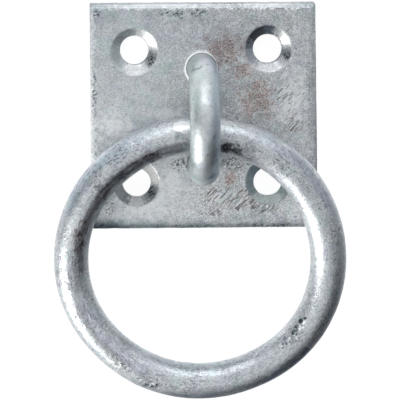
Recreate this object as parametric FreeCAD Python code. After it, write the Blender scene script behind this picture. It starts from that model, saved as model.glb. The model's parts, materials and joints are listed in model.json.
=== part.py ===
import FreeCAD, Part
import math
import os

# A ring on a plate, in millimetres.
# The back of the plate is the plane Z = 0 and the staple stands up along +Z, with the centre of the
# four screw holes at the origin. The ring is laid down towards -Y, over the plate's edge, with its
# far side level with the back of the plate.

# Plate: a blank sheared from flat bar, whose right end was cut a little out of square
plate_width = 51.0
plate_length = 50.8
plate_thickness = 6.0
plate_shift_x = 0.45
plate_shift_y = 0.0
right_end_skew = 0.6
plate_corner_radius = 0.6
plate_front_rounding = 0.9
plate_back_rounding = 0.3

# Screw holes: punched from the front, then countersunk there
screw_spacing_x = 30.0
screw_spacing_y = 30.0
screw_hole_diameter = 6.3
screw_hole_land = 1.3
punch_breakout = 0.45
countersink_diameter = 10.7
countersink_angle = 100.0

# Staple: a rod bent to a U, its legs closed over in countersinks in the back of the plate
staple_rod_diameter = 6.8
staple_leg_spacing = 21.8
staple_leg_height = 10.5
staple_hole_clearance = 0.1
rivet_head_diameter = 10.0
rivet_head_angle = 90.0
rivet_recess = 0.2

# Ring: a welded ring of round rod, hanging against the leg of the staple on the -Y side
ring_inner_diameter = 50.0
ring_rod_diameter = 8.2
ring_shift_x = -0.5
ring_clearance = 0.2

# Places that follow from the sizes
plate_left = plate_shift_x - plate_width / 2
plate_right = plate_shift_x + plate_width / 2
plate_bottom = plate_shift_y - plate_length / 2
plate_top = plate_shift_y + plate_length / 2
staple_rod_radius = staple_rod_diameter / 2
staple_bow_radius = staple_leg_spacing / 2
ring_rod_radius = ring_rod_diameter / 2
ring_radius = ring_inner_diameter / 2 + ring_rod_radius
ring_near_y = -staple_bow_radius + staple_rod_radius + ring_clearance + ring_rod_radius

Z_AXIS = FreeCAD.Vector(0, 0, 1)
cut_margin = 1.0
same_place = 1e-6


def plate_corners(inset):
    """The plate's four corners seen from the front, moved inwards by the inset."""
    half_skew = right_end_skew / 2
    return [
        (plate_left + inset, plate_bottom + inset),
        (plate_right + half_skew - inset, plate_bottom + inset),
        (plate_right - half_skew - inset, plate_top - inset),
        (plate_left + inset, plate_top - inset),
    ]


def edges_at_height(solid, z):
    """The edges of a solid that lie in the plane at this height."""
    return [edge for edge in solid.Edges
            if all(abs(vertex.Z - z) < same_place for vertex in edge.Vertexes)]


def plate_blank():
    """The sheared blank: rounded corners, rolled-over front edges and lightly broken back edges."""
    corners = [FreeCAD.Vector(x, y, 0) for x, y in plate_corners(0)]
    outline = Part.makePolygon(corners + corners[:1])
    blank = Part.Face(outline).extrude(Z_AXIS * plate_thickness)
    upright = [edge for edge in blank.Edges
               if abs(edge.Vertexes[0].Z - edge.Vertexes[-1].Z) > same_place]
    blank = blank.makeFillet(plate_corner_radius, upright)
    blank = blank.makeFillet(plate_front_rounding, edges_at_height(blank, plate_thickness))
    return blank.makeFillet(plate_back_rounding, edges_at_height(blank, 0))


def screw_hole(x, y):
    """A screw hole as a solid to cut away: countersink, short land and the punch's wider breakout."""
    hole_radius = screw_hole_diameter / 2
    sink_radius = countersink_diameter / 2
    slope = math.tan(math.radians(countersink_angle / 2))
    land_top = plate_thickness - (sink_radius - hole_radius) / slope
    land_bottom = land_top - screw_hole_land
    back_radius = hole_radius + punch_breakout
    profile = [
        (0, plate_thickness + cut_margin),
        (sink_radius + cut_margin * slope, plate_thickness + cut_margin),
        (hole_radius, land_top),
        (hole_radius, land_bottom),
        (back_radius, 0),
        (back_radius, -cut_margin),
        (0, -cut_margin),
    ]
    points = [FreeCAD.Vector(x + radius, y, z) for radius, z in profile]
    face = Part.Face(Part.makePolygon(points + points[:1]))
    return face.revolve(FreeCAD.Vector(x, y, 0), Z_AXIS, 360)


def rivet_head(y):
    """The cone that a leg's end is spread into, from the leg's own radius down past the back face."""
    slope = math.tan(math.radians(rivet_head_angle / 2))
    head_radius = rivet_head_diameter / 2
    head_height = (head_radius - staple_rod_radius) / slope
    return Part.makeCone(head_radius + cut_margin * slope, staple_rod_radius,
                         head_height + cut_margin, FreeCAD.Vector(0, y, -cut_margin), Z_AXIS)


def leg_hole(y):
    """A leg's hole through the plate, with the countersink that its head is closed into."""
    bore = Part.makeCylinder(staple_rod_radius + staple_hole_clearance,
                             plate_thickness + 2 * cut_margin,
                             FreeCAD.Vector(0, y, -cut_margin), Z_AXIS)
    return bore.fuse(rivet_head(y))


def leg_places():
    """Where the staple's two legs stand along Y."""
    return (-staple_bow_radius, staple_bow_radius)


def base_plate():
    """The plate with its four screw holes and the two holes for the staple's legs."""
    cuts = [screw_hole(side * screw_spacing_x / 2, end * screw_spacing_y / 2)
            for side in (-1, 1) for end in (-1, 1)]
    cuts += [leg_hole(y) for y in leg_places()]
    return plate_blank().cut(cuts).removeSplitter()


def staple():
    """The U of round rod, with its ends spread just below flush in the back of the plate."""
    bow_height = plate_thickness + staple_leg_height
    low_front = FreeCAD.Vector(0, -staple_bow_radius, -cut_margin)
    high_front = FreeCAD.Vector(0, -staple_bow_radius, bow_height)
    crown = FreeCAD.Vector(0, 0, bow_height + staple_bow_radius)
    high_back = FreeCAD.Vector(0, staple_bow_radius, bow_height)
    low_back = FreeCAD.Vector(0, staple_bow_radius, -cut_margin)
    path = Part.Wire([
        Part.LineSegment(low_front, high_front).toShape(),
        Part.Arc(high_front, crown, high_back).toShape(),
        Part.LineSegment(high_back, low_back).toShape(),
    ])
    section = Part.Wire([Part.makeCircle(staple_rod_radius, low_front, Z_AXIS)])
    rod = path.makePipeShell([section], True, False)
    formed = rod.fuse([rivet_head(y) for y in leg_places()])
    reach = 2 * (plate_width + plate_length)
    below = Part.makeBox(reach, reach, plate_thickness,
                         FreeCAD.Vector(-reach / 2, -reach / 2, rivet_recess - plate_thickness))
    return formed.cut(below).removeSplitter()


def rim_points():
    """Points along the middle of the plate's rounded front edge."""
    steps = 80
    corners = plate_corners(plate_front_rounding)
    height = plate_thickness - plate_front_rounding
    points = []
    for (x0, y0), (x1, y1) in zip(corners, corners[1:] + corners[:1]):
        for step in range(steps):
            share = step / steps
            points.append(FreeCAD.Vector(x0 + share * (x1 - x0), y0 + share * (y1 - y0), height))
    return points


def ring_centre(angle):
    """The ring's centre when it slopes down by this angle, its far side level with the back face."""
    return FreeCAD.Vector(ring_shift_x,
                          ring_near_y - ring_radius * math.cos(angle),
                          ring_rod_radius + ring_radius * math.sin(angle))


def rim_gap(angle, rim):
    """The gap between the sloping ring and the plate's rounded front edge."""
    centre = ring_centre(angle)
    normal = FreeCAD.Vector(0, -math.sin(angle), math.cos(angle))
    gaps = []
    for point in rim:
        offset = point - centre
        height = offset.dot(normal)
        outward = (offset - normal * height).Length - ring_radius
        gaps.append(math.hypot(outward, height))
    return min(gaps) - ring_rod_radius - plate_front_rounding


def lie_angle():
    """The slope at which the ring, laid down, just clears the plate that it lies across."""
    rim = rim_points()
    low = math.asin((plate_thickness + ring_clearance) / (2 * ring_radius))
    high = math.radians(60)
    for _ in range(40):
        middle = (low + high) / 2
        if rim_gap(middle, rim) < ring_clearance:
            low = middle
        else:
            high = middle
    return high


def ring():
    """The welded ring, threaded on the staple and laid down towards -Y."""
    angle = lie_angle()
    hoop = Part.makeTorus(ring_radius, ring_rod_radius)
    hoop.rotate(FreeCAD.Vector(0, 0, 0), FreeCAD.Vector(1, 0, 0), math.degrees(angle))
    hoop.translate(ring_centre(angle))
    return hoop


def main():
    os.makedirs("parts", exist_ok=True)
    pieces = {"base_plate": base_plate(), "staple": staple(), "ring": ring()}
    for name, shape in pieces.items():
        shape.exportStep("parts/" + name + ".step")
        box = shape.BoundBox
        print(name, "solids", len(shape.Solids), "valid", shape.isValid(),
              "volume", round(shape.Volume, 1),
              "box", [round(value, 3) for value in
                      (box.XMin, box.YMin, box.ZMin, box.XMax, box.YMax, box.ZMax)])
    angle = lie_angle()
    print("ring slope in degrees", round(math.degrees(angle), 3))
    print("ring rod centre at the staple, y and z", round(ring_near_y, 3),
          round(ring_rod_radius + 2 * ring_radius * math.sin(angle), 3))


main()
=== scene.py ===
import json
import math
import random

import bmesh
import bpy
import numpy as np
from mathutils import Matrix, Vector, noise
from mathutils.geometry import delaunay_2d_cdt


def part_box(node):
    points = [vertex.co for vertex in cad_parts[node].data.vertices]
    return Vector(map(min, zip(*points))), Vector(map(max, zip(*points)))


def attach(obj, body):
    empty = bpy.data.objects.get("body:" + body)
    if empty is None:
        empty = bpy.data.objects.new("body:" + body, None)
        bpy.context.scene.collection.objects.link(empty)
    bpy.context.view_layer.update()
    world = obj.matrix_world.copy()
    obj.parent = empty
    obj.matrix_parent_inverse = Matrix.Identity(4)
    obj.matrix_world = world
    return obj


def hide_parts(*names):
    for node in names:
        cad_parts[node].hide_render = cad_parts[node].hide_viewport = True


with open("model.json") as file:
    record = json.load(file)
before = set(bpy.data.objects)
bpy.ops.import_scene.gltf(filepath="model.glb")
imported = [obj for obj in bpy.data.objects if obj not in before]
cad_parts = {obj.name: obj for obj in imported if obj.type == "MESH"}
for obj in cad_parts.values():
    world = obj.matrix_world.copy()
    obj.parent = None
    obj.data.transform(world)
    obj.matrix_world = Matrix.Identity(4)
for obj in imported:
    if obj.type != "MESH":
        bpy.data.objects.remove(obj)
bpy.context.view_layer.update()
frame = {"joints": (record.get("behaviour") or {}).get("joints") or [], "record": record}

# A galvanised ring plate lying on its back on a pale table, with its ring laid towards -Y.
# Sizes are in millimetres and are turned into metres when a mesh is made.
mm = 0.001
X_AXIS = Vector((1, 0, 0))
Y_AXIS = Vector((0, 1, 0))
Z_AXIS = Vector((0, 0, 1))

# Plate: its sides are taken in the order bottom, right, top, left, and its corners in the order
# bottom left, bottom right, top right, top left
plate_low, plate_high = (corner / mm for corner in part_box("base_plate"))
plate_thickness = plate_high.z - plate_low.z
plate_skew = 0.6
corner_radii = (0.9, 0.6, 0.35, 0.35)
rollovers = [(1.5, 0.6), (1.6, 0.3), (1.2, 0.6), (1.2, 0.3)]
edge_radius = 0.3
back_rounding = 0.3
front_spacing = 0.36
back_spacing = 0.7

# Screw holes: each was punched and countersunk a little off its place, in the order of hole_signs
hole_signs = [(-1, 1), (1, 1), (-1, -1), (1, -1)]
hole_offsets = [(-0.05, -0.05), (-0.15, 0.1), (0.3, -0.05), (-0.1, -0.05)]
sink_offsets = [(0.0, -0.3), (0.25, 0.1), (-0.15, 0.0), (0.2, 0.25)]
sink_radius = 5.35
sink_angle = 100.0
hole_land = 1.3
hole_breakout = 0.45
rim_break = 0.15

# Staple
rod_radius = 3.33
bore_radius = 3.5
bow_radius = 10.9
leg_height = 10.5
head_radius = 5.0
head_recess = 0.2

# The zinc lip round each leg: its foot's radius, its height at the near and the far leg, and its
# profile as radius and share of that height
lip_radius = 3.92
lip_heights = (0.05, 0.36)
lip_profile = [(3.8, 0.6), (3.62, 0.95), (3.46, 1), (3.37, 0.7), (3.38, 0)]

# The scar left by bending: how wide and deep it is, the reach of its dark tint, and its places on the
# bow, in degrees along from its leg on the far side and degrees across from +X
scar_radius = 0.5
scar_depth = 0.14
scar_reach = 0.42
bending_scar = [(24, 146), (25, 137), (26, 129), (27, 120), (27.5, 112), (26.5, 102)]

# Painted shade and dark reflections on the staple's bow: degrees along from its leg on the far side,
# degrees across from +X, reach and tint
staple_painted_shades = [
    (146, 62, 1.7, (0.6, 0.64, 0.7)), (130, 128, 2.2, (0.76, 0.8, 0.82)),
    (150, 124, 2.0, (0.8, 0.84, 0.86)), (160, 60, 1.6, (0.74, 0.78, 0.84)),
    (84, 128, 1.6, (0.8, 0.8, 0.84)), (24, 140, 1.6, (0.8, 0.83, 0.84)),
]

# Ring: how far its skin lies below the true rod, how much thinner the rod is on one stretch, and where
# its weld is. Places along the ring are in degrees around from +X towards the staple.
ring_skin = 0.03
ring_thinning = 0.19
thin_stretch = (145, 230)
weld_side = 320

# Where the ring is out of round: degrees around, and how far its rod lies inside the true circle
ring_bends = [
    (5, 0.31), (20, 0.38), (30, 0.34), (45, 0.1), (75, 0.0), (105, 0.0), (134, 0.1), (150, 0.0),
    (198, 0.0), (212, 0.12), (228, 0.24), (243, 0.12), (258, 0.0), (275, 0.0), (292, 0.12),
    (305, -0.05), (320, -0.13), (338, -0.03), (350, 0.17),
]

# Marks on the ring: degrees around, degrees across from the outer side over the front, radius and
# depth, which is below zero where the zinc stands up
ring_marks = [
    (327, 121, 0.9, 0.36), (322.6, 128, 0.8, 0.3), (320, 122, 0.6, 0.26), (317.4, 123, 0.5, 0.2),
    (314.7, 118, 0.4, 0.14), (312.8, 125, 0.5, 0.16), (324.6, 117, 0.5, -0.1), (318.7, 128, 0.5, -0.08),
    (187, 68, 0.45, 0.17), (189.5, 64, 0.3, 0.12), (204, 64, 0.5, 0.22), (204, 93, 0.45, 0.16),
    (181.5, 50, 0.5, 0.1), (184, 124, 0.5, 0.15), (166, 106, 0.5, 0.14), (168, 113, 0.4, 0.12),
    (247, 54, 0.6, 0.26), (249.5, 60, 0.45, 0.2), (251, 71, 0.45, 0.24), (249.5, 47, 0.7, -0.1),
    (255, 85, 0.4, 0.12), (228, 84, 0.5, 0.14), (235.5, 80, 0.5, 0.14), (243, 65, 0.5, 0.16),
    (55, 96, 0.3, 0.1), (49, 99, 0.35, 0.12), (46, 98, 0.3, 0.1), (40.5, 68, 0.35, 0.12),
    (111.5, 57, 0.4, 0.1), (119, 57, 0.4, 0.1),
]

# Marks this deep get painted shade inside, apart from those of the weld, which starts at this angle, and
# has painted shade in pits of its own below
deep_mark = 0.19
weld_start = 300

# Small drops and pits all over the ring and the staple's bow, and patches of the ring where they
# crowd: around, across, spread along, spread across, and how many
loose_ring_marks = 260
loose_staple_marks = 70
ring_crowds = [
    (185, 67, 14, 28, 34), (210, 74, 12, 20, 30), (233, 82, 10, 12, 44), (247, 65, 7, 16, 26),
    (129, 52, 14, 12, 40), (113, 58, 8, 16, 24), (320, 122, 7, 8, 26), (268, 107, 12, 34, 34),
    (61, 74, 26, 30, 30), (352, 79, 24, 30, 24), (167.5, 109, 6, 14, 20),
]

# Grooves along the ring: from and to in degrees around, degrees across, width and depth
ring_grooves = [
    (180, 244, 126, 0.6, 0.12), (186, 236, 108, 0.9, 0.05), (256, 271, 51, 0.6, 0.12),
    (22, 52, 52, 0.6, 0.1), (120, 150, 35, 0.7, 0.06), (100, 150, 112, 0.7, 0.08),
]

# Spots on the ring, in the same angles: worn by the staple, with a painted highlight, pitted, and stained
# brown
rubbed_sheen_spots = [(98.2, 41), (96.8, 50)]
pitted_spots = [(127, 52), (139, 54), (187, 68), (203, 88), (232, 85), (247, 65), (267, 127),
                (320, 122), (51, 95)]
stained_spots = [(160, 111), (164.6, 107), (170.5, 109), (114.7, 122)]

# Painted shadows and shade on the ring, darkest where the staple's leg shades it: around, across, reach
# and tint
ring_painted_shadows = [
    (78, 115, 2.4, (0.14, 0.14, 0.15)), (73, 119, 2.0, (0.28, 0.28, 0.29)),
    (80, 98, 2.6, (0.6, 0.6, 0.61)), (68, 106, 3.2, (0.66, 0.66, 0.67)), (98, 66, 2.6, (0.8, 0.8, 0.82)),
    (122, 124, 2.6, (0.55, 0.54, 0.55)), (131, 118, 2.8, (0.55, 0.54, 0.55)),
    (141, 112, 3.0, (0.6, 0.59, 0.6)), (113, 128, 2.2, (0.6, 0.59, 0.6)),
    (99, 105, 1.8, (0.7, 0.7, 0.7)),
]

# Painted shade in the weld's pits, and their rims painted bright as highlights: around, across, reach and
# tint or tone
weld_pit_shades = [
    (328.2, 129.5, 0.74, (0.08, 0.09, 0.1)), (330.6, 123.8, 0.52, (0.12, 0.13, 0.15)),
    (327.5, 121.0, 0.42, (0.4, 0.4, 0.42)), (323.3, 131.0, 0.85, (0.34, 0.39, 0.4)),
    (324.8, 131.0, 0.6, (0.5, 0.56, 0.57)), (321.8, 130.5, 0.6, (0.45, 0.5, 0.51)),
    (320.9, 126.8, 0.55, (0.16, 0.19, 0.2)), (321.8, 116.0, 0.42, (0.25, 0.28, 0.29)),
    (317.1, 116.0, 0.42, (0.4, 0.43, 0.44)), (315.3, 118.3, 0.4, (0.4, 0.43, 0.44)),
    (313.8, 127.5, 0.38, (0.45, 0.47, 0.48)), (312.6, 117.4, 0.34, (0.4, 0.43, 0.44)),
    (316.2, 135.5, 0.5, (0.55, 0.57, 0.58)), (247.5, 58, 0.4, (0.35, 0.36, 0.38)),
]
weld_rim_highlights = [(326.6, 113.6, 0.44), (324.9, 118.6, 0.4), (329.4, 118.0, 0.36), (312.8, 123.5, 0.3)]

# Bands of painted shade and highlight along the ring: from and to in degrees around, from and to in
# degrees across, and their tint
ring_sheen_and_shade_bands = [
    (91, 186, 94, 132, (0.5, 0.49, 0.51)), (59, 90, 103, 146, (0.62, 0.62, 0.63)),
    (186, 246, 91, 98, (0.94, 0.92, 1.0)), (196, 246, 100, 120, (1.22, 1.2, 1.26)),
    (113, 160, 15, 52, (0.84, 0.88, 0.93)), (290, 338, 32, 66, (0.48, 0.53, 0.61)),
    (252, 284, 22, 52, (0.55, 0.57, 0.61)), (244, 290, 88, 128, (1.14, 1.14, 1.13)),
    (238, 268, 0, 32, (0.6, 0.62, 0.65)), (220, 306, 148, 186, (0.7, 0.72, 0.74)),
    (350, 372, 40, 64, (0.84, 0.85, 0.87)), (20, 63, 34, 66, (0.82, 0.83, 0.9)),
    (200, 240, 68, 92, (0.8, 0.79, 0.78)),
]

# Spots on the plate's front: centre along X and Y, reach along X and Y, and height where it is lower
spot_depth = 3
plate_stain_spots = [
    (12.4, 3.6, 5.0, 6.0), (4.8, 15.2, 6.2, 4.4), (6.4, -14.0, 1.4, 2.4), (9.0, 10.5, 3.0, 2.4),
]
# Painted shade: beside the staple, near the ring, at the corners and along the right edge
plate_painted_shade_spots = [
    (4.4, 4.0, 2.6, 9.0), (24.8, 2.0, 1.4, 24.0), (3.0, 18.0, 12.0, 5.0), (-22.5, -24.0, 5.0, 2.6, 5.6),
    (-22.0, 21.8, 5.0, 1.6), (4.6, -5.5, 5.0, 2.2), (-3.5, -14.0, 2.2, 3.0), (13.0, -22.0, 10.0, 2.6),
    (24.4, 24.9, 1.8, 1.4, 5.6), (2.0, 21.4, 10.0, 3.4), (-22.5, -25.2, 4.5, 1.2, 5),
    (6.0, -9.6, 5.5, 2.0), (-12.0, 23.2, 4.0, 1.2),
]
# Painted light, lifting the plate where the ring shades and darkens it
plate_painted_light_spots = [
    (-13.0, -19.5, 12.0, 5.0), (-6.5, -15.0, 6.0, 5.5), (20.5, 4.5, 4.5, 9.0), (-20.0, -2.0, 6.0, 4.0),
    (-8.0, 0.5, 6.0, 2.4), (-22.0, -20.4, 3.6, 3.4),
]
plate_dirt_spots = [
    (-8.8, 23.3, 2.4, 0.9), (-5.2, 23.0, 2.6, 1.1), (-1.2, 23.4, 2.8, 1.0),
    (-4.0, -25.0, 9.0, 0.6, 5.6), (15.0, -24.8, 9.0, 0.7, 5.6), (-23.4, -24.6, 1.8, 1.1, 5.6),
    (-24.2, 5.0, 0.8, 7.0), (-23.4, 23.6, 1.5, 1.0), (8.0, -10.2, 4.2, 2.4), (2.5, -22.0, 3.6, 0.8),
    (-20.8, -20.4, 1.6, 2.0), (-4.5, -10.8, 3.4, 2.0),
]
plate_scratch_spots = [
    (3.6, -18.4, 4.4, 3.6), (9.2, -18.6, 4.0, 3.4), (13.6, -20.4, 4.4, 2.0), (19.0, 4.6, 3.4, 2.8),
    (20.8, -1.0, 2.6, 2.6),
]

# Pale stretches along the plate's edges and round the far leg, worn and painted as highlights, the lip on
# that leg's hole painted white as a highlight, and the lower left corner's painted shadow: a centre and a
# reach along X, Y and Z each
worn_and_highlight_edge_spots = [
    ((-8.0, 25.0, 4), (17.6, 1.2, 4)), ((15.0, 25.2, 4), (9.0, 0.9, 4)), ((-25.0, 0, 4), (0.8, 24, 4)),
    ((0, 10.9, 6.4), (6.0, 6.0, 0.36)),
]
lip_highlight = ((-1.2, 11.8, 6.4), (5.2, 4.6, 0.44))
low_corner_shadow = ((-21.0, -25.2, 5.2), (7.0, 2.8, 3))

# Countersinks: dark speckled blots and frosted zinc, as spots in the middle of their depth. Then each
# one's roughness, and its stretches of painted highlight and painted dark reflection, each with its tone,
# from and to in degrees from +X towards +Y, both in the order of hole_signs.
sink_spot_height = 5
sink_spot_depth = 4
sink_dark_speck_spots = [
    (-11.3, 12.6, 1.6, 2.2), (19.4, 13.4, 1.3, 1.4), (-11.4, -17.0, 1.2, 2.2),
]
frosted_spots = [
    (-15.0, 10.6, 3.4, 1.5), (15.0, 10.9, 3.2, 1.4), (-14.8, -19.2, 3.0, 1.6), (-11.0, -12.2, 3.0, 4.0),
    (15.4, -18.8, 4.0, 1.8), (-19.0, -17.4, 2.0, 2.4),
]
sink_roughness = (0.34, 0.29, 0.5, 0.45)
sink_painted_light_arcs = [
    [(94, 150, (0.44, 0.49, 0.5)), (148, 200, (0.62, 0.67, 0.69)), (-200, -120, (0.62, 0.67, 0.69)),
     (-112, -64, (0.9, 0.9, 0.91)), (-4, 84, (1, 1, 0.99))],
    [(92, 158, (0.075, 0.09, 0.11)), (70, 94, (0.16, 0.2, 0.23)), (156, 200, (0.3, 0.34, 0.38)),
     (-200, -130, (0.5, 0.54, 0.6)), (0, 66, (1, 1, 0.98)), (-124, -58, (0.92, 0.92, 0.93))],
    [(-8, 66, (1, 1, 0.98)), (-64, -20, (0.5, 0.54, 0.54)), (-116, -70, (0.97, 0.95, 0.96)),
     (-200, -120, (0.42, 0.45, 0.47))],
    [(100, 160, (0.24, 0.3, 0.35)), (158, 200, (0.4, 0.48, 0.51)), (-200, -140, (0.46, 0.54, 0.57)),
     (-136, -50, (0.84, 0.92, 0.89)), (-50, -14, (0.66, 0.76, 0.75))],
]

# Camera: leaning from straight above towards +Y, its distance and where it aims
camera_lean = 7.4
camera_sideways = 2.0
camera_roll = -0.235
camera_distance = 700.0
camera_aim = (-0.18, -19.53)
view_width = 90.65

# Floor: half its width and its gap below the plate, in metres, and how bright the camera sees it
floor_half = 1.5
floor_gap = 0.00002
floor_glow = 0.93

# Lamps: azimuth and elevation, distance, width and height in metres, watts and colour
lamps = {
    "key_lamp": ((219, 20), 0.9, 0.42, 0.42, 4.0, (1.0, 0.99, 0.97)),
    "far_lamp": ((90, 37), 1.0, 1.1, 0.5, 3.0, (0.94, 0.97, 1.0)),
}

# The studio round the object, for the metal to mirror: a plain tone with soft brighter and darker
# sides, each with its azimuth and elevation, its inner and outer angle and its colour
sky_colour = (0.68, 0.7, 0.72, 1)
sky_tones = [
    (110, -55, 25, 75, (1.25, 1.27, 1.29, 1)),
    (200, -55, 15, 50, (1.1, 1.1, 1.1, 1)),
    (219, 20, 10, 34, (1.1, 1.1, 1.08, 1)),
    (-52, -6, 20, 66, (0.15, 0.16, 0.18, 1)),
    (-45, 14, 12, 46, (0.015, 0.018, 0.022, 1)),
    (176, 26, 6, 32, (0.18, 0.2, 0.22, 1)),
    (10, 4, 6, 26, (0.34, 0.36, 0.38, 1)),
]


def smooth(value, low, high):
    """0 below low, 1 above high, and a smooth step between them."""
    share = np.clip((value - low) / (high - low), 0, 1)
    return share * share * (3 - 2 * share)


def lumps(points, size, shift=0.0):
    """Smooth noise from about -1 to 1 at each point, with lumps of about this size."""
    offset = Vector((shift, 2 * shift, -shift))
    return np.array([noise.noise(Vector(point) / size + offset) for point in points])


def dents(points, marks):
    """The summed depth of round marks, each a place, a radius and a depth."""
    depth = np.zeros(len(points))
    for place, radius, deep in marks:
        offset = points - np.array(place)
        share = np.clip(1 - (offset * offset).sum(axis=1) / radius ** 2, 0, 1)
        depth += deep * share * share
    return depth


def closed_mesh(points, faces):
    """A mesh in millimetres with its faces turned outwards, and its points and their normals."""
    shell = bmesh.new()
    corners = [shell.verts.new(point) for point in points]
    for face in faces:
        shell.faces.new([corners[i] for i in face])
    bmesh.ops.remove_doubles(shell, verts=shell.verts, dist=0.004)
    bmesh.ops.recalc_face_normals(shell, faces=shell.faces)
    shell.normal_update()
    mesh = bpy.data.meshes.new("shell")
    shell.to_mesh(mesh)
    places = np.array([vertex.co[:] for vertex in shell.verts])
    normals = np.array([vertex.normal[:] for vertex in shell.verts])
    shell.free()
    return mesh, places, normals


def make_piece(name, mesh, points, body, node, material):
    """A smooth piece from a mesh and its points in millimetres, in place of a node."""
    mesh.name = name
    mesh.vertices.foreach_set("co", (points * mm).astype(np.float32).ravel())
    mesh.update()
    mesh.shade_smooth()
    mesh.materials.append(material)
    piece = bpy.data.objects.new(name, mesh)
    bpy.context.scene.collection.objects.link(piece)
    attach(piece, body)
    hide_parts(node)


def loop_faces(rows, count, closed_rows=False):
    """Quads between neighbouring rows, each a closed loop of this many points."""
    pairs = [(row, row + 1) for row in range(rows - 1)]
    if closed_rows:
        pairs.append((rows - 1, 0))
    return [(low * count + i, low * count + (i + 1) % count,
             high * count + (i + 1) % count, high * count + i)
            for low, high in pairs for i in range(count)]


# Ring

def ring_frame():
    """The ring's centre, the way from it to the staple, its axis and its two radii, in millimetres."""
    eye = next(mount for mount in frame["record"]["mounts"] if mount["name"] == "ring_eye")
    centre = Vector(eye["pos_m"]) / mm
    axis = Vector(eye["axis"]).normalized()
    hinge = Vector(frame["joints"][0]["pos_m"]) / mm
    to_staple = Vector((centre.x, hinge.y, hinge.z)) - centre
    low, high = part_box("ring")
    rod = (high.x - low.x) / mm / 2 - to_staple.length
    return centre, to_staple.normalized(), axis, to_staple.length, rod


def ring_bend(around):
    """How far the rod lies inside the true circle at each angle in radians."""
    turns, shifts = zip(*ring_bends)
    reach = np.radians((-8, -4, 0, 4, 8))
    return np.mean([np.interp(np.degrees(around + step), turns, shifts, period=360) for step in reach],
                   axis=0)


def ring_surface(around, across):
    """Places on the bent rod's surface and their outward directions, for angles in radians."""
    centre, forward, axis, radius, rod = ring_frame()
    outward = np.outer(np.cos(around), X_AXIS) + np.outer(np.sin(around), forward)
    normal = outward * np.cos(across)[:, None] + np.outer(np.sin(across), axis)
    middle = np.array(centre) + (radius - ring_bend(around))[:, None] * outward
    return middle + rod * normal, normal


def ring_mark_list():
    """All marks on the ring with their places: the named ones and the crowds of small ones."""
    draw = random.Random(11)
    marks = list(ring_marks)
    for around, across, along, wide, count in ring_crowds:
        for _ in range(count):
            deep = draw.choice((-0.05, -0.03, 0.04, 0.07))
            marks.append((draw.gauss(around, along / 2), draw.gauss(across, wide / 2),
                          draw.uniform(0.28, 0.55), deep))
    for _ in range(loose_ring_marks):
        marks.append((draw.uniform(0, 360), draw.uniform(-180, 180), draw.uniform(0.28, 0.6),
                      draw.choice((-0.05, -0.03, 0.03, 0.05))))
    turns = np.radians([mark[:2] for mark in marks])
    places, _ = ring_surface(turns[:, 0], turns[:, 1])
    return [(place, mark[2], mark[3]) for place, mark in zip(places, marks)]


def ring_depth(points, around):
    """How deep the skin lies below the true rod's surface."""
    along = np.degrees(around) % 360
    start, end = thin_stretch
    thinner = smooth(along, start - 15, start + 15) * smooth(-along, -end - 15, 15 - end)
    depth = ring_skin + ring_thinning * thinner
    depth += 0.04 * lumps(points, 7.0)
    depth += 0.028 * lumps(points, 2.4, 5.0)
    depth += 0.012 * lumps(points, 1.0, 9.0)
    return np.maximum(depth + dents(points, ring_mark_list()), 0.01)


def groove_depth(around, across):
    """The depth of the grooves at each pair of angles in radians."""
    rod = ring_frame()[4]
    along = np.degrees(around) % 360
    depth = np.zeros(len(around))
    for start, end, place, width, deep in ring_grooves:
        beside = np.abs(across % (2 * math.pi) - math.radians(place)) * rod
        profile = np.clip(1 - (beside / width) ** 2, 0, 1) ** 2
        depth += deep * profile * smooth(along, start, start + 6) * smooth(-along, -end, 6 - end)
    return depth


def build_ring():
    """The ring's rod with a wavy zinc skin, drops, pits and the rough place of its weld."""
    around_count = 720
    across_count = 96
    around = np.repeat(np.arange(around_count) * 2 * math.pi / around_count, across_count)
    across = np.tile(np.arange(across_count) * 2 * math.pi / across_count, around_count)
    surface, normal = ring_surface(around, across)
    wander = 0.5 * np.repeat(lumps(surface[::across_count], 4.0, 13.0), across_count) / ring_frame()[4]
    depth = ring_depth(surface, around) + groove_depth(around, across + wander)
    mesh = bpy.data.meshes.new("ring")
    mesh.from_pydata(surface.tolist(), [], loop_faces(around_count, across_count, closed_rows=True))
    make_piece("dressed_ring", mesh, surface - depth[:, None] * normal,
               "loose_ring", "ring", ring_zinc())


# Staple

def staple_path():
    """Places along the staple from one head to the other: middle, direction and radius."""
    bow_height = plate_thickness + leg_height
    head_top = head_recess + head_radius - rod_radius
    heights = [head_recess, head_recess + 0.05, head_recess + 0.15]
    heights += list(np.linspace(head_recess + 0.5, head_top, 4))
    heights += list(np.linspace(head_top + 0.3, bow_height, 46))[:-1]
    flares = [max(rod_radius, head_radius - (height - head_recess)) for height in heights]
    flares[0] -= 0.15
    flares[1] -= 0.05
    rows = [(Vector((0, -bow_radius, height)), Z_AXIS, flare)
            for height, flare in zip(heights, flares)]
    bow_steps = 120
    for step in range(bow_steps + 1):
        angle = math.pi * step / bow_steps
        way = Vector((0, math.sin(angle), math.cos(angle)))
        middle = Vector((0, -bow_radius * math.cos(angle), bow_height + bow_radius * math.sin(angle)))
        rows.append((middle, way, rod_radius))
    rows += [(Vector((0, bow_radius, height)), -Z_AXIS, flare)
             for height, flare in zip(reversed(heights), reversed(flares))]
    return rows


def bow_place(along, across):
    """A place on the bow: degrees along from its leg on the far side, and degrees across from +X."""
    turn = math.radians(along)
    roll = math.radians(across)
    outward = Vector((0, math.cos(turn), math.sin(turn)))
    middle = Vector((0, 0, plate_thickness + leg_height)) + bow_radius * outward
    return middle + rod_radius * (math.cos(roll) * X_AXIS + math.sin(roll) * outward)


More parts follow.
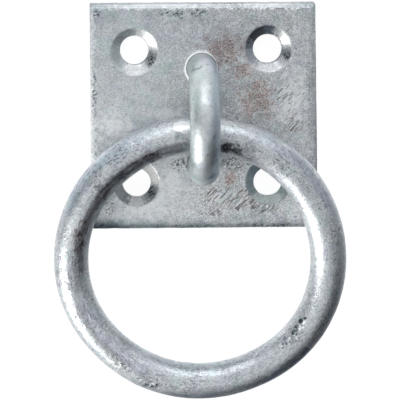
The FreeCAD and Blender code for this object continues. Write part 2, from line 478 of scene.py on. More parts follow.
def staple_marks():
    """A bending scar at the back of the bow, and small drops and pits all over it."""
    marks = [(bow_place(along, across), scar_radius, scar_depth) for along, across in bending_scar]
    draw = random.Random(5)
    for _ in range(loose_staple_marks):
        marks.append((bow_place(draw.uniform(-10, 190), draw.uniform(0, 180)),
                      draw.uniform(0.3, 0.6), draw.choice((-0.03, 0.03, 0.05))))
    return marks


def build_staple():
    """The bent rod, from one closed-over head to the other."""
    across_count = 80
    rows = staple_path()
    turns = np.arange(across_count) * 2 * math.pi / across_count
    points = []
    normals = []
    for middle, way, radius in rows:
        side = way.cross(X_AXIS)
        spread = np.outer(np.cos(turns), X_AXIS) + np.outer(np.sin(turns), side)
        points.append(np.array(middle) + radius * spread)
        normals.append(spread)
    points = np.concatenate(points)
    normals = np.concatenate(normals)
    depth = 0.04 * lumps(points, 6.0, 11.0) + 0.02 * lumps(points, 2.2, 3.0)
    depth += dents(points, staple_marks())
    points = points - depth[:, None] * normals
    ends = np.array([points[:across_count].mean(axis=0), points[-across_count:].mean(axis=0)])
    faces = loop_faces(len(rows), across_count)
    first = len(points)
    last_row = first - across_count
    faces += [(i, first, (i + 1) % across_count) for i in range(across_count)]
    faces += [(last_row + i, last_row + (i + 1) % across_count, first + 1)
              for i in range(across_count)]
    mesh, places, _ = closed_mesh(np.concatenate([points, ends]), faces)
    make_piece("dressed_staple", mesh, places, "fixed_plate", "staple",
               staple_zinc())


# Plate

def plate_corners():
    """The corners of the plate's straight sides, seen from the front."""
    return [Vector((plate_low.x, plate_low.y)), Vector((plate_high.x, plate_low.y)),
            Vector((plate_high.x - plate_skew, plate_high.y)), Vector((plate_low.x, plate_high.y))]


def side_normals():
    """The outward direction of each side."""
    corners = plate_corners()
    ways = [(there - here).normalized() for here, there in zip(corners, corners[1:] + corners[:1])]
    return [Vector((way.y, -way.x)) for way in ways]


def plate_outline(insets, heights):
    """Points round the plate, inside each side by that side's inset and at that side's height."""
    side_steps = 138
    corner_steps = 6
    normals = side_normals()
    arcs = []
    for i, corner in enumerate(plate_corners()):
        before = normals[i - 1]
        after = normals[i]
        radius = max(corner_radii[i] - (insets[i - 1] + insets[i]) / 2, 0.05)
        centre = corner - before * (insets[i - 1] + radius) - after * (insets[i] + radius)
        arcs.append((centre, radius, before, after))
    points = []
    for i, (centre, radius, before, after) in enumerate(arcs):
        start = math.atan2(before.y, before.x)
        turn = -before.angle_signed(after)
        for step in range(corner_steps):
            share = step / corner_steps
            angle = start + turn * share
            height = heights[i - 1] * (1 - share) + heights[i] * share
            points.append((centre.x + radius * math.cos(angle),
                           centre.y + radius * math.sin(angle), height))
        next_centre, next_radius, _, _ = arcs[(i + 1) % 4]
        here = centre + after * radius
        there = next_centre + after * next_radius
        for step in range(side_steps):
            place = here.lerp(there, step / side_steps)
            points.append((place.x, place.y, heights[i]))
    return points


def inside(x, y, insets, margin):
    """Whether a place is inside all the plate's sides, by each side's inset and this margin."""
    place = Vector((x, y))
    return all((corner - place).dot(normal) > inset + margin
               for corner, normal, inset in zip(plate_corners(), side_normals(), insets))


def clear(x, y, holes, margin):
    """Whether a place is outside all the round holes by at least this margin."""
    return all(math.hypot(x - centre[0], y - centre[1]) > radius * 0.999 + margin
               for centre, radius in holes)


def circle(centre, radius, height, count=96):
    """Points round a level circle."""
    return [(centre[0] + radius * math.cos(2 * math.pi * i / count),
             centre[1] + radius * math.sin(2 * math.pi * i / count), height)
            for i in range(count)]


def flat_sheet(insets, holes, height, spacing):
    """A flat sheet with holes, filled with even triangles: its points and faces."""
    rims = [plate_outline(insets, [height] * 4)]
    rims += [circle(centre, radius, height) for centre, radius in holes]
    pairs = [Vector(point[:2]) for rim in rims for point in rim]
    edges = []
    start = 0
    for rim in rims:
        edges += [(start + i, start + (i + 1) % len(rim)) for i in range(len(rim))]
        start += len(rim)
    margin = 0.6 * spacing
    rows = int((plate_high.y - plate_low.y) / (spacing * 0.87))
    columns = int((plate_high.x - plate_low.x) / spacing)
    for row in range(rows):
        for column in range(columns):
            x = plate_low.x + (column + 0.5 * (row % 2)) * spacing
            y = plate_low.y + row * (plate_high.y - plate_low.y) / rows
            if inside(x, y, insets, margin) and clear(x, y, holes, margin):
                pairs.append(Vector((x, y)))
    made = delaunay_2d_cdt(pairs, edges, [], 0, 1e-5)
    points = [(point.x, point.y, height) for point in made[0]]
    faces = []
    for face in made[2]:
        x = sum(points[i][0] for i in face) / 3
        y = sum(points[i][1] for i in face) / 3
        if inside(x, y, insets, 0) and clear(x, y, holes, 0):
            faces.append(tuple(face))
    return points, faces


def strip(loops):
    """A strip through loops of points: its points and faces."""
    points = [point for loop in loops for point in loop]
    return points, loop_faces(len(loops), len(loops[0]))


def hole_places():
    """Each screw hole's centre and its countersink's centre, and the holes' radius."""
    pattern = next(mount for mount in frame["record"]["mounts"] if mount["name"] == "screw_holes")
    half_x = pattern["dims"]["spacing_x_mm"] / 2
    half_y = pattern["dims"]["spacing_y_mm"] / 2
    places = []
    for (side, end), hole, sink in zip(hole_signs, hole_offsets, sink_offsets):
        hole_centre = (side * half_x + hole[0], end * half_y + hole[1])
        sink_centre = (hole_centre[0] + sink[0], hole_centre[1] + sink[1])
        places.append((hole_centre, sink_centre))
    return places, pattern["dims"]["hole_r_mm"]


def screw_hole_loops(hole, sink, hole_radius):
    """Loops down a screw hole: broken rim, countersink, land and the punch's breakout."""
    top = plate_thickness
    slope = 1 / math.tan(math.radians(sink_angle / 2))
    cone_bottom = top - (sink_radius - hole_radius) * slope
    land_bottom = cone_bottom - hole_land
    back_radius = hole_radius + hole_breakout
    rim_drop = slope * (math.hypot(rim_break, rim_break) - rim_break) / 2
    profile = []
    for share in np.linspace(0, 1, 14) ** 1.5:
        radius = (sink_radius + rim_break) * (1 - share) + (hole_radius + 0.06) * share
        within = sink_radius - radius
        profile.append((radius, top + rim_drop - slope * (within + math.hypot(within, rim_break)) / 2))
    profile += [(hole_radius + 0.01, cone_bottom - 0.06), (hole_radius, cone_bottom - 0.14)]
    profile += [(hole_radius, land_bottom + 0.1), (hole_radius + 0.05, land_bottom - 0.2)]
    profile += [(back_radius - 0.1, 0.8), (back_radius - 0.02, 0.15), (back_radius + 0.05, 0.0)]
    loops = []
    for radius, height in profile:
        share = min(1.0, (top - height) / (top - cone_bottom))
        centre = (sink[0] + (hole[0] - sink[0]) * share, sink[1] + (hole[1] - sink[1]) * share)
        loops.append(circle(centre, radius, height))
    return loops


def leg_hole_loops(y, lip):
    """Loops down a leg's hole: a zinc lip round the leg, the bore and the head's countersink."""
    top = plate_thickness
    head_top = head_radius - bore_radius
    profile = [(lip_radius, top)] + [(radius, top + share * lip) for radius, share in lip_profile]
    profile += [(bore_radius, top - 0.4), (bore_radius, top / 2), (bore_radius, head_top + 0.1)]
    profile += [(bore_radius + 0.75, head_top - 0.75), (head_radius - 0.06, 0.1)]
    profile += [(head_radius + 0.04, 0.02), (head_radius + 0.1, 0.0)]
    return [circle((0, y), radius, height) for radius, height in profile]


def side_loops():
    """Loops down the plate's sides: the rolled-over front edge, the side and the broken back edge."""
    loops = []
    widths = [width for width, _ in rollovers]
    drops = [drop for _, drop in rollovers]
    for share in np.linspace(0, 1, 7):
        insets = [width + (edge_radius - width) * share for width in widths]
        heights = [plate_thickness - drop * share ** 2 for drop in drops]
        loops.append(plate_outline(insets, heights))
    for step in range(1, 6):
        angle = math.pi / 2 * step / 5
        insets = [edge_radius * (1 - math.sin(angle))] * 4
        down = edge_radius * (1 - math.cos(angle))
        loops.append(plate_outline(insets, [plate_thickness - drop - down for drop in drops]))
    for share in np.linspace(0, 1, 15)[1:]:
        heights = [(plate_thickness - drop - edge_radius) * (1 - share) + back_rounding * share
                   for drop in drops]
        loops.append(plate_outline([0.0] * 4, heights))
    for step in range(1, 4):
        angle = math.pi / 2 * step / 3
        inset = back_rounding * (1 - math.cos(angle))
        loops.append(plate_outline([inset] * 4, [back_rounding * (1 - math.sin(angle))] * 4))
    return loops


def plate_depth(points):
    """How deep the plate's skin lies below its true surface."""
    depth = 0.03 + 0.025 * lumps(points, 6.0, 2.0) + 0.012 * lumps(points, 1.6, 7.0)
    margin = np.full(len(points), 1e9)
    for corner, normal in zip(plate_corners(), side_normals()):
        margin = np.minimum(margin, (np.array(corner) - points[:, :2]) @ np.array(normal))
    ragged = np.abs(lumps(points, 2.2, 4.0)) + 0.5 * np.abs(lumps(points, 0.9, 6.0))
    depth += 0.08 * ragged * smooth(-margin, -1.6, -0.3)
    sheared = np.abs(lumps(points * np.array([1, 1, 0.3]), 0.9, 8.0))
    depth += 0.12 * sheared * smooth(-points[:, 2], -4.2, -3.2) * smooth(-margin, -0.4, -0.1)
    return np.maximum(depth, 0.0)


def build_plate():
    """The plate as one closed shell: front, rolled-over edges, sides, back and all its holes."""
    leg_ys = (-bow_radius, bow_radius)
    places, hole_radius = hole_places()
    strips = [strip(screw_hole_loops(hole, sink, hole_radius)) for hole, sink in places]
    strips += [strip(leg_hole_loops(y, lip)) for y, lip in zip(leg_ys, lip_heights)]
    strips.append(strip(side_loops()))
    front_holes = [(sink, sink_radius + rim_break) for _, sink in places]
    front_holes += [((0, y), lip_radius) for y in leg_ys]
    back_holes = [(hole, hole_radius + hole_breakout + 0.05) for hole, _ in places]
    back_holes += [((0, y), head_radius + 0.1) for y in leg_ys]
    widths = [width for width, _ in rollovers]
    strips.append(flat_sheet(widths, front_holes, plate_thickness, front_spacing))
    strips.append(flat_sheet([back_rounding] * 4, back_holes, 0.0, back_spacing))
    points = []
    faces = []
    for strip_points, strip_faces in strips:
        faces += [tuple(len(points) + i for i in face) for face in strip_faces]
        points += strip_points
    mesh, places, normals = closed_mesh(points, faces)
    depth = plate_depth(places)
    make_piece("dressed_plate", mesh, places - depth[:, None] * normals,
               "fixed_plate", "base_plate", plate_zinc())


# Material helpers

def add_node(tree, kind, inputs=None, output=0, **settings):
    """Adds a shader node with its settings and inputs, and returns one of its outputs."""
    made = tree.nodes.new("ShaderNode" + kind)
    for name, value in settings.items():
        setattr(made, name, value)
    for name, value in (inputs or {}).items():
        if isinstance(value, bpy.types.NodeSocket):
            tree.links.new(value, made.inputs[name])
        else:
            made.inputs[name].default_value = value
    return made.outputs[output]


def wire(kind, inputs, output=0, **settings):
    """Adds a node to the tree that its inputs come from. At least one of them is a node's output."""
    sockets = [value for value in inputs.values() if isinstance(value, bpy.types.NodeSocket)]
    return add_node(sockets[0].id_data, kind, inputs, output, **settings)


def new_tree(name):
    """An empty material and its node tree."""
    material = bpy.data.materials.new(name)
    material.use_nodes = True
    material.node_tree.nodes.clear()
    return material, material.node_tree


def finish_tree(tree, surface):
    """Makes this the material's surface."""
    output = tree.nodes.new("ShaderNodeOutputMaterial")
    tree.links.new(surface, output.inputs["Surface"])


def blend(share, first, second, kind="MIX"):
    """Two colours mixed by a share."""
    return wire("Mix", {0: share, 6: first, 7: second}, output=2, data_type="RGBA", blend_type=kind)


def tinted(colour, share, tint):
    """A colour multiplied by a tint as far as the share says."""
    return blend(share, colour, (*tint, 1), "MULTIPLY")


def figure(first, second, operation="MULTIPLY"):
    """Two numbers combined."""
    return wire("Math", {0: first, 1: second}, operation=operation)


def swayed(value, amount, noise):
    """A number moved to and fro by noise, by this amount times the noise's swing about a half."""
    swing = figure(noise, 0.5, "SUBTRACT")
    return wire("Math", {0: swing, 1: amount, 2: value}, operation="MULTIPLY_ADD")


def part(vector, axis):
    """One number of a vector, by 0, 1 or 2 for X, Y or Z."""
    return wire("SeparateXYZ", {0: vector}, axis)


def minus(first, second):
    """The vector from the second place to the first."""
    return wire("VectorMath", {0: first, 1: second}, operation="SUBTRACT")


def dot(first, second):
    """The dot product of two vectors."""
    return wire("VectorMath", {0: first, 1: second}, 1, operation="DOT_PRODUCT")


def length(vector):
    """How long a vector is."""
    return wire("VectorMath", {0: vector}, 1, operation="LENGTH")


def ramp(value, low, high, bottom=0.0, top=1.0):
    """A smooth step of a number from bottom, at low, to top, at high."""
    return wire("MapRange", {0: value, 1: low, 2: high, 3: bottom, 4: top},
                interpolation_type="SMOOTHSTEP")


def summed(layers, middle=0.5):
    """A middle number plus each layer's swing about a half, times that layer's weight."""
    total = middle - 0.5 * sum(weight for _, weight in layers)
    for value, weight in layers:
        total = wire("Math", {0: value, 1: weight, 2: total}, operation="MULTIPLY_ADD")
    return total


def mottle(place, size, detail=3.0, stretch=1.0, turn=0.0, shift=0.0):
    """Noise with lumps of about this size in millimetres. They can be stretched along X and turned
    about Z, in degrees."""
    lump = size * mm
    moved = wire("Mapping", {
        "Vector": place, "Location": (shift * mm, shift * mm, 0),
        "Rotation": (0, 0, math.radians(turn)), "Scale": (lump * stretch, lump, lump)},
        vector_type="TEXTURE")
    return wire("TexNoise", {"Vector": moved, "Scale": 1.0, "Detail": detail, "Roughness": 0.6})


def patch(place, centre, reach, ragged=0.5, softness=0.7):
    """A soft spot with a ragged edge: 1 in its middle and 0 beyond its reach along X, Y and Z."""
    moved = minus(place, Vector(centre) * mm)
    scaled = wire("VectorMath", {0: moved, 1: [1 / (side * mm) for side in reach]},
                  operation="MULTIPLY")
    distance = length(scaled)
    if ragged:
        distance = swayed(distance, 4 * ragged, mottle(place, 1.4))
    return ramp(distance, 1.0, 1.0 - softness)


def patches(place, spots, **settings):
    """Several patches as one mask, each a centre and a reach."""
    mask = 0.0
    for centre, reach in spots:
        mask = figure(mask, patch(place, centre, reach, **settings), "MAXIMUM")
    return mask


def specks(place, size, rarity, shift=0.0):
    """Small sharp spots of about this size, fewer as the rarity goes up."""
    return ramp(mottle(place, size, 2.0, shift=shift), rarity, rarity + 0.06)


def plate_spots(rows, height=plate_thickness, depth=spot_depth):
    """Centres and reaches along X, Y and Z for rows of spots, at this height unless a row has its own."""
    return [((x, y, *(own_height or [height])), (wide, long, depth))
            for x, y, wide, long, *own_height in rows]


def sink_spots(rows):
    """Centres and reaches for spots in the countersinks."""
    return plate_spots(rows, sink_spot_height, sink_spot_depth)


def object_place(tree):
    """The place on the piece, in metres in the row's frame."""
    return add_node(tree, "TexCoord", output="Object")


def zinc_colour(place, dark, light, grains):
    """The zinc's colour: blotches and finer grains, each a size in millimetres and a weight, between
    a dark and a light tone, with faint green and lilac tints."""
    layers = [(mottle(place, 5.0, 2.0), 0.9)]
    layers += [(mottle(place, size, 2.0, shift=3.0), weight) for size, weight in grains]
    colour = blend(summed(layers), (*dark, 1), (*light, 1))
    green = ramp(mottle(place, 3.5, 3.0, shift=11.0), 0.5, 0.66)
    lilac = ramp(mottle(place, 3.0, 3.0, shift=17.0), 0.5, 0.66)
    colour = tinted(colour, green, (0.93, 0.995, 0.975))
    return tinted(colour, lilac, (0.97, 0.95, 1.0))


def zinc_relief(place, grain_depth, spangle, spangle_depth):
    """Surface directions with the relief of the grain and the spangle, their depths in millimetres."""
    grain = wire("Bump", {
        "Strength": 1.0, "Distance": grain_depth * mm,
        "Height": mottle(place, 0.4, 2.0, shift=2.0)})
    return wire("Bump", {
        "Strength": 1.0, "Distance": spangle_depth * mm,
        "Height": mottle(place, spangle, 2.0, shift=8.0), "Normal": grain})


def zinc_surface(tree, colour, roughness, relief, metallic=1.0):
    """Joins the zinc's colour, roughness and relief in one metal surface."""
    finish_tree(tree, wire("BsdfPrincipled", {
        "Base Color": colour, "Metallic": metallic, "Roughness": roughness, "Normal": relief}))


# Materials

def ring_spot(around, across, reach):
    """A centre on the ring's surface for angles in degrees, and its reach."""
    places, _ = ring_surface(*np.radians([[around], [across]]))
    return tuple(places[0]), [reach] * 3


def ring_spots(spots, reach):
    """Centres on the ring's surface for pairs of angles in degrees, each with the same reach."""
    return [ring_spot(*spot, reach) for spot in spots]


def tint_spots(place, colour, spots, **settings):
    """A colour with patches laid over it, each a centre, a reach and a tint."""
    for centre, reach, tint in spots:
        colour = tinted(colour, patch(place, centre, reach, **settings), tint)
    return colour


def ring_angles(place):
    """Places by their angle around the ring, their angle across its rod and their distances out from
    and along its axis. The first is 0 opposite the weld, so that its seam lies there."""
    centre, forward, axis, radius, _ = ring_frame()
    opposite = math.radians(weld_side + 180)
    near = X_AXIS * math.cos(opposite) + forward * math.sin(opposite)
    offset = minus(place, centre * mm)
    parts = [dot(offset, way) for way in (near, axis.cross(near), axis)]
    out = length(wire("CombineXYZ", {0: parts[0], 1: parts[1]}))
    around = figure(parts[1], parts[0], "ARCTAN2")
    across = figure(parts[2], figure(out, radius * mm, "SUBTRACT"), "ARCTAN2")
    return around, across, out, parts[2]


def lengthwise_places(angles, stretch):
    """Places for noise that is stretched along the ring's rod."""
    around, _, out, height = angles
    arc = figure(around, ring_frame()[3] * mm / stretch)
    return wire("CombineXYZ", {0: arc, 1: out, 2: height})


def between_angles(angle, start, end, soft):
    """1 between two angles in degrees, with soft ends."""
    rise = ramp(angle, math.radians(start - soft), math.radians(start + soft))
    fall = ramp(angle, math.radians(end + soft), math.radians(end - soft))
    return figure(rise, fall)


def ring_sheen_and_shade(angles, lengthwise, colour):
    """Streaky bands of painted shade and painted highlight along the ring, darker, lighter or tinted."""
    around, across, _, _ = angles
    wavy = swayed(across, 1.2, mottle(lengthwise, 2.5, 4.0, shift=47.0))
    streak = ramp(mottle(lengthwise, 0.4, 3.0, shift=49.0), 0.34, 0.56, 0.8, 1.0)
    for start, end, low, high, tint in ring_sheen_and_shade_bands:
        along = between_angles(around, start - weld_side + 180, end - weld_side + 180, 8)
        mask = figure(along, between_angles(wavy, low, high, 9))
        colour = tinted(colour, figure(mask, streak), tint)
    return colour


def ring_flecks(place, lengthwise, colour):
    """Dark and bright flecks that crowd in some places and are missing in others."""
    crowded = ramp(mottle(place, 4.5, 2.0, shift=81.0), 0.44, 0.6)
    dark = figure(crowded, specks(lengthwise, 0.34, 0.55, shift=83.0))
    colour = tinted(colour, dark, (0.58, 0.59, 0.61))
    bright = figure(crowded, specks(place, 0.3, 0.57, shift=85.0))
    return blend(figure(bright, 0.6), colour, (0.96, 0.97, 0.97, 1))


def ring_zinc():
    """The ring's skin: grained, streaked along its rod, with painted shade and highlights in bands and
    patches, and worn beside the staple with a painted highlight.
    """
    material, tree = new_tree("ring_zinc")
    place = object_place(tree)
    angles = ring_angles(place)
    lengthwise = lengthwise_places(angles, 2.5)
    colour = zinc_colour(place, (0.43, 0.455, 0.48), (0.83, 0.85, 0.86), [(1.0, 0.7), (0.3, 1.9)])
    streaks = ramp(mottle(lengthwise, 0.5, 3.0, shift=23.0), 0.34, 0.56)
    colour = blend(streaks, tinted(colour, 1.0, (0.84, 0.85, 0.87)), colour)
    # Painted shade and painted highlights in bands along the rod
    colour = ring_sheen_and_shade(angles, lengthwise, colour)
    flecks = ramp(mottle(lengthwise, 0.35, 3.0, shift=27.0), 0.3, 0.5, 0.55, 1.0)
    pitted = patches(place, ring_spots(pitted_spots, 4.0))
    pits = figure(pitted, specks(lengthwise, 0.4, 0.53, shift=31.0))
    pits = figure(pits, specks(lengthwise, 0.45, 0.63, shift=37.0), "MAXIMUM")
    colour = tinted(colour, pits, (0.5, 0.5, 0.52))
    colour = ring_flecks(place, lengthwise, colour)
    # Painted shade inside the deepest marks
    deep = [mark[:2] for mark in ring_marks if mark[3] > deep_mark and mark[0] < weld_start]
    hollow_shade = patches(place, ring_spots(deep, 0.6), ragged=0.2, softness=0.5)
    colour = tinted(colour, hollow_shade, (0.34, 0.38, 0.39))
    # Painted shade in the weld's pits, and painted highlights on their rims
    weld_pit_shade_spots = [(*ring_spot(*spot), tint) for *spot, tint in weld_pit_shades]
    colour = tint_spots(place, colour, weld_pit_shade_spots, ragged=0.35, softness=0.5)
    rims = patches(place, [ring_spot(*spot) for spot in weld_rim_highlights], ragged=0.35, softness=0.5)
    colour = blend(rims, colour, (0.98, 0.98, 0.97, 1))
    # Painted shadows and shade, darkest where the staple's leg shades the rod
    for *spot, tint in ring_painted_shadows:
        painted_shadow = patch(place, *ring_spot(*spot), ragged=0.7, softness=0.8)
        colour = tinted(colour, figure(painted_shadow, flecks), tint)
    stained = patches(place, ring_spots(stained_spots, 2.4))
    stain = figure(stained, ramp(mottle(lengthwise, 0.5, 3.0, shift=41.0), 0.4, 0.6))
    colour = tinted(colour, stain, (0.36, 0.29, 0.25))
    # Worn smoother beside the staple, with a painted highlight there
    rubbed_sheen = patches(place, ring_spots(rubbed_sheen_spots, 1.9), ragged=0.15, softness=0.35)
    colour = blend(figure(rubbed_sheen, 0.7), colour, (0.92, 0.92, 0.93, 1))
    grain = mottle(place, 0.4, 2.0, shift=21.0)
    roughness = figure(ramp(grain, 0.3, 0.7, 0.36, 0.5), figure(rubbed_sheen, 0.1), "SUBTRACT")
    metallic = ramp(rims, 0.0, 1.0, 1.0, 0.2)
    zinc_surface(tree, colour, roughness, zinc_relief(place, 0.04, 1.0, 0.05), metallic)
    return material


def staple_zinc():
    """The staple's skin: smoother than the ring's, a little greener on its left, with painted shade
    darkening its right side towards blue.
    """
    material, tree = new_tree("staple_zinc")
    place = object_place(tree)
    colour = zinc_colour(place, (0.47, 0.5, 0.51), (0.8, 0.83, 0.84), [(1.8, 0.7), (0.4, 1.0)])
    across = part(place, 0)
    colour = tinted(colour, ramp(across, 0.5 * mm, -3 * mm), (0.93, 0.97, 0.95))
    # Painted shade: the right side, turned away from the key lamp, darker and bluer
    colour = tinted(colour, ramp(across, 0.2 * mm, 2.6 * mm), (0.86, 0.92, 0.98))
    # Painted shade and dark reflections on the bow
    shades = [(bow_place(*spot), [reach] * 3, tint) for *spot, reach, tint in staple_painted_shades]
    colour = tint_spots(place, colour, shades, ragged=0.35, softness=0.9)
    scar = [(tuple(bow_place(*spot)), [scar_reach] * 3) for spot in bending_scar]
    colour = tinted(colour, patches(place, scar, ragged=0.2), (0.42, 0.47, 0.5))
    colour = tinted(colour, specks(place, 0.7, 0.64), (0.6, 0.62, 0.63))
    roughness = ramp(mottle(place, 0.9, 3.0, shift=21.0), 0.3, 0.7, 0.4, 0.52)
    zinc_surface(tree, colour, roughness, zinc_relief(place, 0.02, 1.8, 0.05))
    return material


def plate_stains(place, colour):
    """Brown stains, broken up in fine specks."""
    stained = patches(place, plate_spots(plate_stain_spots), ragged=0.6, softness=0.8)
    fleck = ramp(mottle(place, 0.3, 2.0, shift=43.0), 0.48, 0.58)
    colour = tinted(colour, stained, (0.96, 0.84, 0.8))
    return tinted(colour, figure(stained, fleck), (0.54, 0.44, 0.41))


def low_edge_shade(place):
    """1 at the plate's lower edge and 0 a little above it, with a wavy border: where shade is painted
    along that edge.
    """
    wavy = swayed(part(place, 1), 3.0 * mm, mottle(place, 3.0, 3.0, shift=91.0))
    return ramp(wavy, (plate_low.y + 2.6) * mm, plate_low.y * mm)


def outer_edge_shade(place):
    """1 at the plate's outermost top and right edges and 0 a little inside them: where shade is painted
    on them.
    """
    right = ramp(part(place, 0), (plate_high.x - 0.8) * mm, (plate_high.x - 0.3) * mm)
    top = ramp(part(place, 1), (plate_high.y - 0.3) * mm, plate_high.y * mm)
    return figure(right, top, "MAXIMUM")


def plate_dirt_and_painted_light(place, colour):
    """Soft spots of painted light and painted shade, painted shade along the lower edge and a painted
    shadow in the lower left corner, specks thick in a few patches, and sparse fine ones elsewhere.
    """
    # Painted light in soft spots
    lit = patches(place, plate_spots(plate_painted_light_spots), ragged=0.6, softness=0.9)
    colour = blend(figure(lit, 0.7), colour, (0.95, 0.96, 0.97, 1))
    # Painted shade in soft spots
    shaded = patches(place, plate_spots(plate_painted_shade_spots), ragged=0.6, softness=0.9)
    crowded = patches(place, plate_spots(plate_dirt_spots), ragged=0.6, softness=0.5)
    streaky = mottle(place, 0.4, 3.0, stretch=1.8, turn=35.0, shift=51.0)
    dense = figure(crowded, ramp(streaky, 0.49, 0.56))
    colour = tinted(colour, shaded, (0.84, 0.86, 0.88))
    # Painted shade along the lower edge
    colour = tinted(colour, low_edge_shade(place), (0.5, 0.55, 0.57))
    # Painted shadow in the lower left corner
    corner = patch(place, *low_corner_shadow, ragged=0.3, softness=0.8)
    colour = tinted(colour, corner, (0.45, 0.49, 0.53))
    colour = tinted(colour, dense, (0.3, 0.3, 0.32))
    return tinted(colour, specks(place, 0.4, 0.62, shift=57.0), (0.6, 0.6, 0.62))


def plate_scratches(place, colour):
    """Slanting scratches in a few patches, pale on one side and dark on the other."""
    scratched = patches(place, plate_spots(plate_scratch_spots), ragged=0.6, softness=0.4)
    fine = mottle(place, 0.32, 2.0, stretch=7.0, turn=42.0, shift=61.0)
    long = mottle(place, 0.55, 2.0, stretch=7.0, turn=48.0, shift=65.0)
    dark = figure(ramp(fine, 0.54, 0.62), ramp(long, 0.56, 0.62), "MAXIMUM")
    pale = ramp(fine, 0.44, 0.36)
    colour = tinted(colour, figure(scratched, dark), (0.38, 0.35, 0.33))
    return blend(figure(figure(scratched, pale), 0.6), colour, (0.9, 0.91, 0.92, 1))


def sink_mask(place):
    """1 inside the countersinks and 0 elsewhere."""
    sinks = [((*sink, plate_thickness), (sink_radius, sink_radius, 9.0))
             for _, sink in hole_places()[0]]
    over = patches(place, sinks, ragged=0.0, softness=0.06)
    below = ramp(part(place, 2), (plate_thickness - 0.05) * mm, (plate_thickness - 0.25) * mm)
    return figure(over, below)


def sink_painted_light(place, sunk, colour):
    """Each countersink's arcs of painted highlight and painted dark reflection, with ragged borders, and
    fine streaks down its slope.
    """
    for (hole, _), arcs in zip(hole_places()[0], sink_painted_light_arcs):
        offset = minus(place, Vector((*hole, 0)) * mm)
        angle = figure(part(offset, 1), part(offset, 0), "ARCTAN2")
        around = wire("CombineXYZ", {0: figure(angle, sink_radius * mm)})
        wavy = swayed(angle, 0.9, mottle(around, 0.6, 3.0, shift=hole[0]))
        wavy = swayed(wavy, 0.9, mottle(place, 0.8, 3.0, shift=93.0))
        reach = sink_radius + 2 * rim_break
        near = patch(place, (*hole, plate_thickness), (reach, reach, 9.0), ragged=0.0, softness=0.1)
        here = figure(near, sunk)
        for start, end, tone in arcs:
            mask = figure(here, between_angles(wavy, start, end, 7))
            colour = blend(figure(mask, 0.92), colour, (*tone, 1))
    mottled = ramp(mottle(place, 0.35, 3.0, shift=95.0), 0.4, 0.6, 0.75, 1.0)
    return blend(sunk, colour, blend(1.0, colour, mottled, "MULTIPLY"))


def plate_zinc():
    """The plate's skin: smooth at the left and etched at the right, with smooth countersinks."""
    material, tree = new_tree("plate_zinc")
    place = object_place(tree)
    even = zinc_colour(place, (0.5, 0.52, 0.53), (0.84, 0.86, 0.87), [(0.8, 0.8), (0.28, 2.6)])
    etched = zinc_colour(place, (0.47, 0.475, 0.48), (0.97, 0.975, 0.98), [(0.8, 1.0), (0.28, 3.0)])
    across = part(place, 0)
    colour = blend(ramp(across, -14 * mm, 6 * mm), even, etched)
    # Painted shade: darker towards the top right and lighter towards the bottom left, as the key lamp
    # falls
    light_falloff = dot(place, (-0.5, -0.86, 0))
    colour = tinted(colour, ramp(light_falloff, 22 * mm, -24 * mm), (0.8, 0.81, 0.82))
    colour = plate_stains(place, colour)
    colour = plate_dirt_and_painted_light(place, colour)
    colour = plate_scratches(place, colour)
    # Pale edges, worn and painted as highlights
    pale = patches(place, worn_and_highlight_edge_spots, ragged=0.4)
    colour = blend(figure(pale, 0.6), colour, (0.92, 0.93, 0.94, 1))
    # Painted shade on the outermost top and right edges
    colour = tinted(colour, outer_edge_shade(place), (0.55, 0.57, 0.59))
    sunk = sink_mask(place)
    colour = blend(figure(sunk, 0.6), colour, (0.8, 0.82, 0.83, 1))
    # Painted highlights and dark reflections in the countersinks
    colour = sink_painted_light(place, sunk, colour)
    # Dark speckled blots in the countersinks
    blackened = figure(patches(place, sink_spots(sink_dark_speck_spots), ragged=0.3),
                       ramp(mottle(place, 0.45, 2.0, shift=71.0), 0.4, 0.52))
    colour = tinted(colour, figure(blackened, sunk), (0.16, 0.17, 0.19))
    rough = ramp(mottle(place, 0.5, 3.0, shift=21.0), 0.3, 0.7, 0.44, 0.64)
    for (hole, _), roughness in zip(hole_places()[0], sink_roughness):
        reach = (sink_radius, sink_radius, 9.0)
        here = patch(place, (*hole, plate_thickness), reach, ragged=0.0, softness=0.06)
        rough = blend(figure(here, sunk), rough, (roughness, roughness, roughness, 1))
    relief = zinc_relief(place, 0.035, 0.9, 0.05)
    plain = add_node(tree, "NewGeometry", output="Normal")
    # The lip on the far leg's hole, painted white as a highlight
    lip = patch(place, *lip_highlight, ragged=0.0, softness=0.4)
    colour = blend(lip, colour, (0.97, 0.98, 0.98, 1))
    frosted = figure(patches(place, sink_spots(frosted_spots), ragged=0.3, softness=0.6), sunk)
    metallic = ramp(figure(frosted, lip, "MAXIMUM"), 0.0, 1.0, 1.0, 0.1)
    zinc_surface(tree, colour, rough, blend(figure(sunk, 0.85), relief, plain), metallic)
    return material


# Floor, world, lamps and camera

def camera_axes():
    """The camera's right, up and backward directions."""
    lean = math.radians(camera_lean)
    sideways = math.radians(camera_sideways)
    roll = math.radians(camera_roll)
    back = Vector((-math.sin(sideways) * math.cos(lean), math.sin(lean),
                   math.cos(sideways) * math.cos(lean)))
    level = Y_AXIS.cross(back).normalized()
    rise = back.cross(level)
    right = level * math.cos(roll) + rise * math.sin(roll)
    up = rise * math.cos(roll) - level * math.sin(roll)
    return right, up, back


def make_camera():
    """The camera at the photograph's angle."""
    right, up, back = camera_axes()
    data = bpy.data.cameras.new("camera")
    data.sensor_width = 36.0
    data.lens = data.sensor_width * camera_distance / view_width
    camera = bpy.data.objects.new("camera", data)
    turn = Matrix((right, up, back)).transposed()
    place = (right * camera_aim[0] + up * camera_aim[1] + back * camera_distance) * mm
    camera.matrix_world = Matrix.Translation(place) @ turn.to_4x4()
    bpy.context.scene.collection.objects.link(camera)
    bpy.context.scene.camera = camera


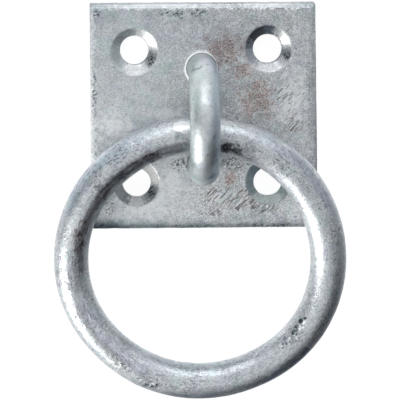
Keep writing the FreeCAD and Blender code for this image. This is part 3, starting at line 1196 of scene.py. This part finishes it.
def make_floor():
    """A plain pale table just below the plate's back. To the camera it is white and keeps a faint
    shadow, and the metal mirrors the studio's lower half in its place."""
    mesh = bpy.data.meshes.new("floor")
    corners = [(-1, -1), (1, -1), (1, 1), (-1, 1)]
    mesh.from_pydata([(x * floor_half, y * floor_half, -floor_gap) for x, y in corners],
                     [], [(0, 1, 2, 3)])
    floor = bpy.data.objects.new("floor", mesh)
    bpy.context.scene.collection.objects.link(floor)
    material, tree = new_tree("pale_floor")
    seen = add_node(tree, "LightPath", output="Is Camera Ray")
    plain = add_node(tree, "BsdfDiffuse", {"Color": (0.8, 0.8, 0.8, 1)})
    faint = add_node(tree, "BsdfDiffuse", {"Color": (0.16, 0.16, 0.16, 1)})
    glow = add_node(tree, "Emission", {"Color": (1, 1, 1, 1), "Strength": floor_glow})
    both = wire("AddShader", {0: faint, 1: glow})
    finish_tree(tree, wire("MixShader", {0: seen, 1: plain, 2: both}))
    mesh.materials.append(material)
    floor.visible_glossy = False


def towards(azimuth, elevation):
    """The direction at an azimuth from +X towards +Y, and at an elevation above the table."""
    turn = math.radians(azimuth)
    rise = math.radians(elevation)
    return Vector((math.cos(turn) * math.cos(rise), math.sin(turn) * math.cos(rise), math.sin(rise)))


def make_world():
    """White for the camera, and the studio's soft sides for the metal."""
    world = bpy.data.worlds.new("studio")
    bpy.context.scene.world = world
    world.use_nodes = True
    tree = world.node_tree
    tree.nodes.clear()
    way = add_node(tree, "TexCoord", output="Generated")
    colour = sky_colour
    for azimuth, elevation, inner, outer, tone in sky_tones:
        nearness = dot(way, towards(azimuth, elevation))
        share = ramp(nearness, math.cos(math.radians(outer)), math.cos(math.radians(inner)))
        colour = blend(share, colour, tone)
    seen = add_node(tree, "LightPath", output="Is Camera Ray")
    glow = wire("Background", {
        "Color": blend(seen, colour, (1, 1, 1, 1)), "Strength": 1.0})
    output = tree.nodes.new("ShaderNodeOutputWorld")
    tree.links.new(glow, output.inputs["Surface"])


def make_lamp(name, direction, distance, width, height, power, colour):
    """A soft rectangular lamp that faces the object."""
    data = bpy.data.lights.new(name, "AREA")
    data.shape = "RECTANGLE"
    data.size = width
    data.size_y = height
    data.energy = power
    data.color = colour
    lamp = bpy.data.objects.new(name, data)
    lamp.location = direction * distance
    lamp.rotation_mode = "QUATERNION"
    lamp.rotation_quaternion = direction.to_track_quat("Z", "Y")
    bpy.context.scene.collection.objects.link(lamp)


def make_lamps():
    """A key lamp low on the left and a weaker, cooler one beyond the plate."""
    for name, (angles, *settings) in lamps.items():
        make_lamp(name, towards(*angles), *settings)


build_ring()
build_staple()
build_plate()
make_floor()
make_world()
make_lamps()
make_camera()
bpy.context.scene.view_settings.view_transform = "Standard"
